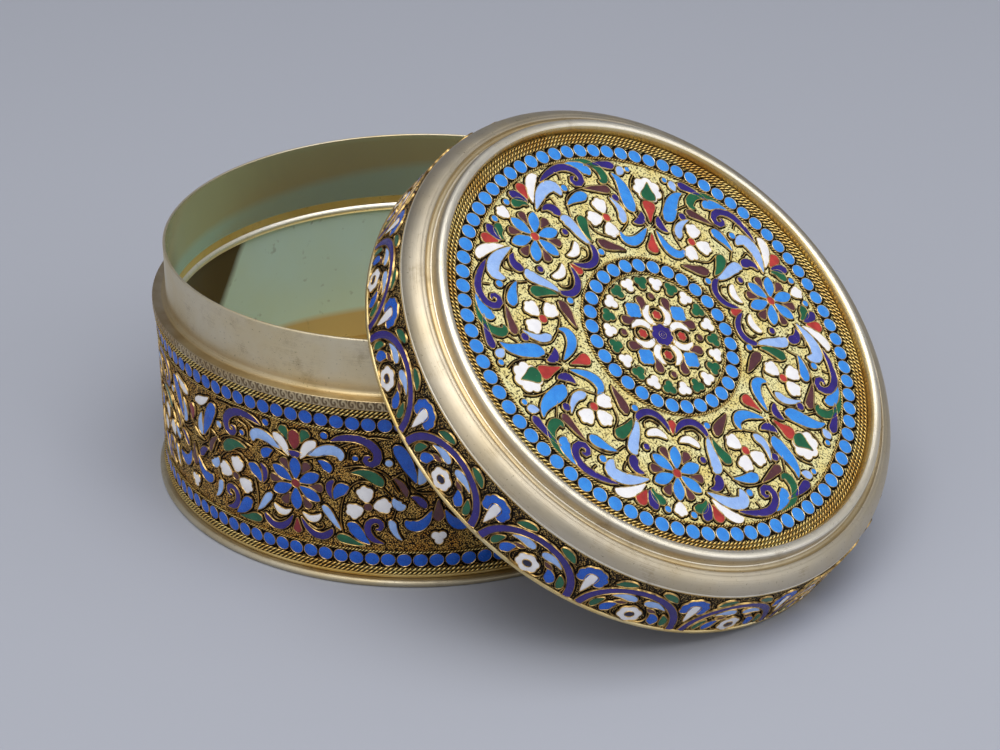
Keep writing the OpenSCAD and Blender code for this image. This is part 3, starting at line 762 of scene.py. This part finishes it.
# dome, ring wire and dark strip of painted shadow and soot of one bead at a flat place, repeated at n even angles
def beadRow(node, y, size, n, place, body, colour, wire):
    name, starts = pieceName(node), around(0, n)
    grid, line = discCells([dot(0, y, size)])
    ring, shade = wireAlong(line, True, -0.05, 0.85), sootShadeAlong(line, True, 1.6)
    makePiece(name, repeated([(grid, False)], place, starts), finishes[colour], body, [node])
    makePiece(name + "Wires", repeated([(ring, True)], place, starts), wire, body)
    makePiece(name + "Soot", repeated([(shade, True)], place, starts), soot, body)


# height on the drum or radius on the lid, radius of a bead, count
for node, y, size, n in (("lower_beads", 4.96, 1.29, 108), ("upper_beads", 31.54, 1.29, 108)):
    beadRow(node, y, size, n, mapDrum, "box", "blue", oldWire)
for node, y, size, n in (("outer_beads", 38.52, 1.34, 82), ("inner_beads", 14.24, 1.34, 30)):
    beadRow(node, y, size, n, mapMedallion, "lid", "turquoise", brightWire)
print("beads set")

# Medallion: three blue flowers, a palmette between each two, white flowers in scrolls

medallion = dict(turn=-38.0, sets=3, flower=(0, 27.78))
# centre and petal turns of the two white flowers beside each blue one: no two are set alike
whiteFlowers = (
    (((15.1, 18.4), (56, 138, 218)), ((14.46, 19.9), (19, 96, 207))),
    (((14.46, 19.9), (19, 96, 207)), ((15.2, 18.4), (42, 130, 218))),
    (((14.9, 19.2), (57, 140, 228)), ((14.5, 18.9), (14, 98, 186))))
field = Motif()
field.blueFlower(medallion["flower"], "turquoise", "red")
field.disc("white", (0, 34.6, 1.5, "petal", 90, 1), False)
field.leaf("red", [(0, 20.2, .06), (0, 19, .35), (0, 18, .64), (0, 17.4, .2)], False)
for x, y, r, colour in ((2.5, 35.2, .66, "turquoise"), (14.2, 28.3, .72, "turquoise"), (5.5, 23.9, .66, "cobalt"),
                        (20.4, 19.8, .8, "cobalt"), (7.1, 16.7, .68, "turquoise")):
    field.disc(colour, dot(x, y, r))
field.pairs("cobalt",
    [(5.7, 32.2, .08), (5.6, 33.3, .5), (5.2, 34.5, .78), (5.1, 35.4, .62), (5.2, 35.8, .15)],
    [(11.6, 32.5, .06), (13.6, 32.3, .34), (16, 31.8, .5), (18.2, 30.7, .58), (19.4, 28.7, .58), (19, 26.9, .52),
     (17.8, 26.4, .48), (16.9, 27.1, .42), (17, 28, .36), (17.7, 28.3, .22), (18.1, 27.8, .08)],
    [(6.3, 29.3, .06), (7.5, 29, .46), (8.3, 28, .7), (8.2, 26.9, .7), (7.9, 26.2, .15)],
    [(18.2, 14.7, .06), (19, 14.1, .46), (20, 13.8, .68), (21, 14.1, .46), (21.7, 14.6, .06)],
    [(7, 19.4, .06), (6.6, 18.2, .42), (5.4, 17.1, .52), (3.9, 16.8, .52), (2.4, 17.3, .48), (1.2, 18.5, .34),
     (.5, 19.9, .06)])
field.pairs("green",
    [(5.2, 31.8, .08), (4.9, 32.9, .5), (4.2, 33.6, .75), (3.3, 33.8, .66), (2.7, 33.7, .15)],
    [(20.3, 30.6, .06), (22.3, 28.9, .34), (23.4, 27, .5), (23.6, 25, .64), (22.8, 23.5, .74), (21.7, 23.3, .46),
     (21.3, 24, .08)],
    [(11.2, 23.2, .2), (10.6, 22.7, .84), (9.4, 21.6, .74), (8.4, 20.3, .42), (7.8, 19, .06)])
field.leaf("red", [(6.3, 32.4, .08), (6.8, 33.4, .5), (7.4, 34.4, .9), (7.8, 35.1, .66), (8, 35.4, .12)])
field.pairs("white",
    [(6.4, 31.3, .08), (8.2, 32.8, .6), (10.2, 33.8, .8), (11.6, 33.9, .66), (12.4, 33.5, .12)],
    [(5.1, 21.6, .12), (4.5, 21, .48), (3.2, 20.5, .6), (2, 20.8, .42), (1.2, 21.4, .06)])
field.pairs("sky",
    [(5.6, 30.2, .08), (8.5, 31, .7), (11, 31.1, .95), (12.8, 30.2, .95), (12.7, 28.8, .62), (12.2, 28, .12)],
    [(7.5, 25.9, .2), (8.1, 25, .86), (7.9, 23.4, .8), (7.3, 21.5, .6), (7, 19.9, .34), (7.1, 18.8, .06)],
    [(19.5, 20.8, .06), (19.2, 19, .36), (18.4, 17.4, .6), (17.2, 16.6, .62), (16.4, 16.2, .12)])
field.pairs("turquoise",
    [(19.3, 30.7, .06), (20.5, 29.4, .5), (21.2, 28, .82), (21.3, 26.6, .8), (20.9, 25.8, .12)],
    [(11.2, 26.2, .06), (13, 25.9, .45), (14.7, 25.3, .8), (15.8, 24.7, .72), (16.3, 24.2, .15)],
    [(14.2, 15.9, .06), (13.5, 14.6, .55), (14, 13.2, .8), (15.5, 12.4, .68), (17.4, 12.2, .42), (19.2, 12.2, .06)])
field.pairs("aubergine",
    [(17.2, 25.5, .06), (18.6, 24.2, .36), (19.8, 22.9, .56), (20.8, 21.9, .66), (21.3, 21.4, .15)],
    [(8.9, 18.3, .2), (9.1, 17.2, .76), (9.8, 15.8, .66), (10.7, 14.4, .36), (11.3, 13.2, .06)])
field.stem(
    [(9.6, 24.6), (13, 27), (17.2, 25.6), (20.2, 22.6), (20.2, 18.6), (18, 15.8), (14.8, 15.6)],
    [(14.8, 15.6), (12, 16.6), (10.6, 19.4), (11.4, 22)],
    [(5.4, 30), (9, 29.9), (13, 32.2), (18, 32), (21.6, 29)],
    [(22.4, 22.6), (21.8, 18), (20.2, 15.4), (19.6, 12.4)],
    [(15.4, 29.6), (16.2, 30.6), (15.6, 31.6)],
    [(9.6, 27.6), (10.2, 29.2), (9.2, 29.8)],
    [(2.4, 18.8), (4.2, 18.2), (5.4, 19), (5.3, 20.1)])

palmette = Motif()
palmette.disc("white", (0, 31.5, 3.05, "palm", 90, 0.9), False)
palmette.leaf("green", [(0, 28.9, .3), (0, 29.5, 1.15), (0, 30.4, 1.2), (0, 31.4, .7), (0, 32.3, .3),
    (0, 33.1, .04)], False, 0.12)
palmette.leaf("red", [(0, 24.2, .06), (0, 26, .5), (0, 27.6, 1.05), (0, 28.6, .95), (0, 29, .2)], False)
palmette.leaf("red", [(0, 21.8, .06), (0, 20.2, .42), (0, 18.8, .9), (0, 17.9, .8), (0, 17.5, .2)], False)
palmette.disc("turquoise", dot(3.9, 34.9, .58))
palmette.leaf("turquoise", [(7.4, 33, .06), (6.1, 32, .55), (5.1, 30.3, .95), (4.5, 28.3, 1.12), (3.9, 26.6, 1.02),
    (3.2, 25.6, .25)])
palmette.leaf("sky", [(6, 33, .1), (5.6, 33.8, .62), (5.3, 34.6, .6), (5.1, 35.1, .12)])
palmette.leaf("cobalt", [(6.6, 34.9, .15), (7.4, 34.7, .66), (9, 34.4, .55), (11, 33.8, .32), (13, 32.9, .06)])
palmette.stem([(0.4, 23.4), (2.2, 26), (3.2, 29), (3.4, 32), (2.6, 34.2)])


# one piece a colour, one for all the wires and one for the painted shadow and soot along them, from motifs and their
# start angles
def fieldPieces(name, motifs, place, wire, body, replaced):
    # grids of all the motifs, each at its own start angles
    def laid(flats):
        return [g for m, starts in motifs for g in repeated(flats(m), place, starts)]

    for colour in sorted({c for m, starts in motifs for c in m.colours()}):
        makePiece(name + colour.capitalize(), laid(lambda m: m.enamel(colour)), finishes[colour], body,
                  replaced.get(colour, ()))
    makePiece(name + "CellWires", laid(Motif.wires), wire, body, (), 60)
    makePiece(name + "Soot", laid(Motif.soot), soot, body, (), 60)


starts = around(medallion["turn"], medallion["sets"])
flowers = []
for start, pair in zip(starts, whiteFlowers):
    flower = Motif()
    for (centre, turns), flip in zip(pair, (tuple, mirroredDisc)):
        for d in whitePetals(centre, turns):
            flower.disc("white", flip(d), False)
        flower.disc("red", flip(dot(*centre, 0.82)), False)
    flowers.append((flower, [start]))
fieldPieces("medallion", [(field, starts), (palmette, starts + 180 / medallion["sets"])] + flowers,
            mapMedallion, brightWire, "lid",
            dict(turquoise=["medallion_blue_petals"], white=["medallion_white_petals"],
                 red=["medallion_blue_eyes", "medallion_white_eyes"]))
print("medallion laid")

# Rosette in the middle: trefoils, lozenges, ringed eyes and a cobalt flower

rosette = Motif()
# angles of the first of each kind and distances from the middle
rose = dict(turn=134.0, trefoils=11, trefoilTurn=67.0, trefoilAt=10.75, lozengeTurn=-26.0, lozengeAt=6.6, dropTurn=24,
            eyeTurn=19.0, eyeAt=4.05, dotAt=7.9, lidAt=2.2)
# distance, half width and share of the way back to the lozenge; angle about an eye and half width
roseDrop = ((5.6, .06, .42), (6.4, .5, .12), (7.2, .72, 0), (7.9, .55, 0), (8.2, .12, 0))
eyelid = ((28, .06), (62, .46), (98, .58), (132, .46), (160, .06))
for i in range(rose["trefoils"]):
    for k, colour in ((0, "white"), (0.5, "green")):
        turn = rose["trefoilTurn"] + (i + k) * 360 / rose["trefoils"]
        rosette.disc(colour, (*polar(rose["trefoilAt"], turn), 1.5, "clover", turn + 180, 1), False)
for turn, eyeTurn in zip(around(rose["lozengeTurn"], 4), around(rose["eyeTurn"], 4)):
    rosette.disc("turquoise", (*polar(rose["lozengeAt"], turn), 1.62, "lozenge", turn, 1), False)
    for side in (-rose["dropTurn"], rose["dropTurn"]):
        rosette.leaf("aubergine", [(*polar(r, turn + side * (1 - q)), w) for r, w, q in roseDrop], False)
    rosette.disc("aubergine", dot(*polar(rose["dotAt"], eyeTurn), 0.64), False)
    eye = polar(rose["eyeAt"], eyeTurn)
    rosette.disc("red", (*eye, 0.95, "six", 0, 1), False)
    rosette.loops.append((*eye, 1.62))
    for side in (1, -1):
        rosette.leaf("white", [(*polar(rose["lidAt"], eyeTurn + side * q, eye), w) for q, w in eyelid], False)
rosette.disc("cobalt", (0, 0, 2.3, "star", 0, 1), False)
rosette.loops += [(0, 0, r) for r in (2.62, 0.75, 0.3)]
fieldPieces("rosette", [(rosette, [rose["turn"]])], mapMedallion, brightWire, "lid",
            dict(cobalt=["rosette_flower"], white=["rosette_white_trefoils"], green=["rosette_green_trefoils"]))
print("rosette laid")

# Drum: six repeats of a blue flower between two white flowers

wallField = Motif()
wallPlan = dict(turn=-12.8, repeats=6, flower=(0, 17.95), white=(13.2, 15.35), whiteTurns=(10, 100, 202))
wallField.blueFlower(wallPlan["flower"], "blue", "ruby")
for d in whitePetals(wallPlan["white"], wallPlan["whiteTurns"]):
    wallField.disc("white", d)
wallField.disc("aubergine", dot(*wallPlan["white"], 0.8))
wallField.leaf("ruby", [(0, 24.8, .15), (0, 25.8, .75), (0, 27, 1.0), (0, 27.9, .8), (0, 28.5, .2)], False)
wallField.leaf("ruby", [(0, 11, .06), (0, 9.7, .4), (0, 8.6, .68), (0, 8, .2)], False)
wallField.leaf("cobalt", [(-1.5, 24.1, .08), (0, 23.75, .55), (1.5, 24.1, .08)], False)
for x, y, r, colour in ((5.7, 28.5, .72, "blue"), (11.2, 24.8, .58, "blue"), (17, 24.3, .72, "sky")):
    wallField.disc(colour, dot(x, y, r))
wallField.pairs("green",
    [(1.3, 26.2, .06), (1.7, 27.4, .5), (2.3, 28.3, .76), (2.6, 28.8, .15)],
    [(10.3, 21.9, .06), (12.2, 22.1, .5), (14, 21.5, .85), (15.3, 20.4, .75), (15.8, 19.6, .12)],
    [(7.4, 8.6, .15), (8, 8.6, .62), (9.2, 8.4, .68), (10.8, 7.9, .38), (12.6, 7.6, .06)])
wallField.pairs("white",
    [(1.1, 23.1, .06), (1.9, 24.6, .62), (2.8, 25.8, .82), (3.7, 26.6, .56), (4.2, 27, .08)],
    [(1.1, 12.4, .06), (2.3, 11.6, .44), (3.4, 11.6, .54), (4.3, 12.3, .3), (4.6, 12.8, .06)],
    [(19.6, 28.6, .06), (21, 27.6, .5), (22.5, 26.9, .74), (23.6, 26.5, .46), (24, 26.2, .08)])
wallField.pairs("sky",
    [(2.4, 24.1, .06), (4.2, 24.9, .6), (6, 25.7, .8), (7.6, 25.8, .82), (8.5, 25.1, .7), (8.6, 24, .15)],
    [(17.6, 17.5, .06), (18, 16.5, .6), (18.9, 15.8, .76), (19.8, 16, .1)],
    [(5, 14.6, .2), (5.6, 13.9, .55), (6.4, 12.8, .52), (7.3, 11.4, .36), (8.3, 10.2, .06)],
    [(16.9, 13, .2), (17.3, 12.2, .55), (17.6, 11, .46), (18.2, 9.8, .28), (19, 9, .06)],
    [(22, 24.8, .06), (22.6, 23, .5), (22.6, 21.2, .66), (22, 20.2, .12)])
wallField.pairs("blue",
    [(4.4, 23.4, .06), (5.4, 23, .55), (6.2, 22.2, .72), (6.5, 21.3, .12)],
    [(7.2, 16.2, .06), (7.8, 17.5, .7), (8.7, 18.5, .95), (9.5, 19, .5), (9.8, 19.3, .1)],
    [(9.4, 11.6, .2), (10.3, 11.2, .82), (11.1, 10.2, .88), (12.1, 9, .62), (13.4, 7.9, .06)],
    [(17.9, 27.6, .25), (18.6, 27, .82), (19.5, 25.5, .98), (20.4, 23.5, .84), (21.2, 21.7, .46), (21.6, 20.4, .06)],
    [(24.2, 15, .06), (23.2, 13, .62), (21.8, 11.9, .86), (20.3, 12.2, .74), (19.6, 13, .12)])
wallField.pairs("cobalt",
    [(6.8, 27.6, .06), (8.6, 28.4, .44), (11.2, 28.7, .58), (13.5, 28, .64), (15, 26.3, .64), (14.9, 24.5, .56),
     (13.8, 23.8, .46), (12.9, 24.4, .38), (13.2, 25.3, .28), (13.9, 25.2, .1)],
    [(6.8, 16.2, .06), (6.3, 17.6, .36), (6.4, 19, .46), (7.2, 20, .12)],
    [(.8, 11.4, .06), (1.8, 9.7, .36), (3.3, 8.5, .54), (5, 8.4, .56), (6.2, 9.3, .46), (6.7, 10.2, .08)],
    [(15.8, 8.2, .08), (14, 8.9, .42), (13, 10.5, .46), (13.3, 12.2, .46), (14.6, 12.8, .42), (15.5, 12, .36),
     (15.1, 11, .28), (14.4, 11.1, .1)],
    [(20.6, 17.9, .06), (21.8, 17.3, .46), (22.8, 16.2, .52), (23.2, 15.4, .08)])
wallField.leaf("aubergine", [(17.6, 21.6, .06), (19, 20.2, .4), (19.7, 18.8, .44), (19.9, 17.6, .08)])
wallField.stem(
    [(8.6, 9.4), (8.2, 13), (9.2, 17.6), (12, 20.4), (15.8, 19.2), (18, 15.6), (16.6, 11.4)],
    [(1.6, 22.9), (5, 24.4), (9.8, 27.4), (14, 29), (17.8, 28.8)],
    [(17, 20.8), (19.6, 22.4), (20.4, 20), (22, 18.6), (24.6, 18.4)],
    [(2.2, 10.4), (3.8, 9.6), (5, 10.2), (4.6, 11.2)],
    [(9, 22.6), (12.4, 23.3), (16.4, 22), (18.6, 18.4)],
    [(9.8, 24.2), (10.2, 26.2), (12, 27)], [(24.8, 20.6), (23.2, 19.6), (21.6, 19.2)])
wallAxis = Motif()
wallAxis.leaf("ruby", [(0, 21.8, .06), (0, 23.2, .66), (0, 24.4, .7), (0, 25.2, .12)], False)
wallAxis.leaf("aubergine", [(0, 17.2, .06), (0, 15.4, .46), (0, 13.7, .8), (0, 12.8, .2)], False)
wallAxis.disc("white", (0, 9.6, 1.5, "clover", 270, 1), False)
starts = around(wallPlan["turn"], wallPlan["repeats"])
fieldPieces("wall", [(wallField, starts), (wallAxis, starts + 180 / wallPlan["repeats"])], mapDrum, oldWire, "box",
            dict(blue=["wall_blue_petals"], white=["wall_white_petals"], ruby=["wall_blue_eyes"],
                 aubergine=["wall_white_eyes"]))
print("wall laid")

# Frieze of the lid: an arch over a small white flower, a fan and a drop between arches

frieze = Motif()
friezePlan = dict(turn=1.5, arches=16, archRadius=8.7, archFoot=(0, 0.38), archHalf=0.53, flower=(0, 3.1))
frieze.leaf("cobalt", [(*polar(friezePlan["archRadius"], turn, friezePlan["archFoot"]), friezePlan["archHalf"])
                       for turn in np.linspace(5, 175, 11)], False)
frieze.disc("white", (*friezePlan["flower"], 2.15, "scallop", 30, 1), False)
frieze.disc("midnight", dot(*friezePlan["flower"], 0.8), False, 0.1)
frieze.leaf("sky", [(.8, 6.6, .25), (1.4, 6.9, .66), (2.6, 7, .66), (3.8, 6.7, .36), (5, 6.1, .06)])
frieze.leaf("blue", [(3.2, 4.7, .08), (4, 3.7, .62), (4.5, 2.6, .74), (4.7, 1.7, .15)])
frieze.pairs("green",
    [(5.5, 4.8, .08), (6.2, 3.6, .5), (6.5, 2.5, .5), (6.5, 1.7, .12)],
    [(2.4, 10.4, .15), (3.3, 10.3, .52), (4.6, 9.75, .6), (5.8, 8.9, .12)])
frieze.leaf("aubergine", [(1.9, 5.7, .06), (2.9, 5.2, .4), (3.9, 4.9, .06)])
frieze.stem([(5.2, 6.2), (6.6, 4.8), (7.4, 2.6), (7.4, 1.3)], [(1, 1.2), (2.6, 1.5), (3.2, 2.8), (2.6, 4.4)])
fan = Motif()
fan.disc("blue", (0, 8.0, 2.75, "fan", 90, 0.95), False)
fan.leaf("white", [(0, 8.9, .25), (0, 8.5, .74), (0, 7.7, .84), (0, 6.3, .58), (0, 4.9, .3),
    (0, 3.9, .06)], False, 0.06)
starts = around(friezePlan["turn"], friezePlan["arches"])
fieldPieces("frieze", [(frieze, starts), (fan, starts + 180 / friezePlan["arches"])], mapSkirt, oldWire, "lid",
            dict(cobalt=["frieze_arches"], midnight=["frieze_eyes"], white=["frieze_flowers", "frieze_drops"],
                 blue=["frieze_fans"]))
print("frieze laid")

# Studio: pale floor that bends up behind, soft lights, camera from the fitted view

# focal length in pixels of a picture 1000 wide, pan and tilt in radians
studio = dict(turn=43.96, focal=2401.43, place=(0.0, -404.993, 226.739), pan=0.03735, tilt=0.48)
scene = bpy.context.scene
viewTurn = Matrix.Rotation(np.radians(studio["turn"]), 3, "Z")
pan, tilt = studio["pan"], studio["tilt"]
ahead = viewTurn @ Vector((np.sin(pan) * np.cos(tilt), np.cos(pan) * np.cos(tilt), -np.sin(tilt)))
right = viewTurn @ Vector((np.cos(pan), -np.sin(pan), 0))
lens = bpy.data.cameras.new("photoCamera")
lens.sensor_fit, lens.sensor_width, lens.lens = "HORIZONTAL", 36.0, studio["focal"] * 36 / 1000
lens.clip_start, lens.clip_end = 0.01, 20
camera = placed("photoCamera", lens)
pose = Matrix((right, right.cross(ahead), -ahead)).transposed().to_4x4()
pose.translation = viewTurn @ (Vector(studio["place"]) * mm)
camera.matrix_world = pose
scene.camera = camera

# floor strip in metres: flat, then a quarter round, then upright, in the direction away from the camera
sweep = dict(near=-1.6, bend=0.9, curve=0.5, top=1.8, half=2.2)
away, across = (np.array(viewTurn @ Vector(v)) for v in ((0, 1, 0), (1, 0, 0)))
near, bend, curve, top, half = sweep.values()
path = np.array([(near, 0), (bend, 0)] + arc((bend, curve), curve, -84, 0, 15) + [(bend + curve, top)])
line = path[:, :1] * away + path[:, 1:] * np.array([0, 0, 1.0])
rows = np.stack([line - half * across, line + half * across], 1)
mesh = bpy.data.meshes.new("studioFloor")
strips = [(2 * i, 2 * i + 1, 2 * i + 3, 2 * i + 2) for i in range(len(path) - 1)]
mesh.from_pydata(rows.reshape(-1, 3).tolist(), [], strips)
mesh.shade_smooth()
floor = placed("studioFloor", mesh)
paper = Finish("studio paper", Roughness=0.85)
paper.feed("Base Color", paper.mix(0.15 * paper.noise(2.0, 2), (173, 176, 186), (160, 163, 172)))
mesh.materials.append(paper.material)

world = bpy.data.worlds.new("studioAir")
scene.world = world
world.use_nodes = True
air = world.node_tree.nodes["Background"].inputs
air["Color"].default_value, air["Strength"].default_value = (0.82, 0.84, 0.88, 1), 0.42


# soft square lamp that looks at the box; place and size are in metres
def softbox(name, place, size, watts, colour=(1, 1, 1), target=(0.02, 0, 0.03)):
    lamp = bpy.data.lights.new(name, "AREA")
    lamp.shape, lamp.size, lamp.energy, lamp.color = "SQUARE", size, watts, colour
    o = placed(name, lamp)
    spot = viewTurn @ Vector(place)
    o.matrix_world = (Vector(target) - spot).to_track_quat("-Z", "Y").to_matrix().to_4x4()
    o.matrix_world.translation = spot


softbox("overhead", (0.05, -0.3, 0.95), 1.0, 7.5)
softbox("leftFront", (-0.9, -0.8, 0.6), 1.2, 2.6, (1, 0.98, 0.95))
softbox("rightFill", (1.0, -0.6, 0.5), 1.0, 3.1, (0.97, 0.98, 1))
scene.view_settings.view_transform = "Standard"

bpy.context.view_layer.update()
meshes = [o.data for o in bpy.data.objects if o.type == "MESH" and not o.hide_render]
print("triangles:", sum(len(m.loops) - 2 * len(m.polygons) for m in meshes))
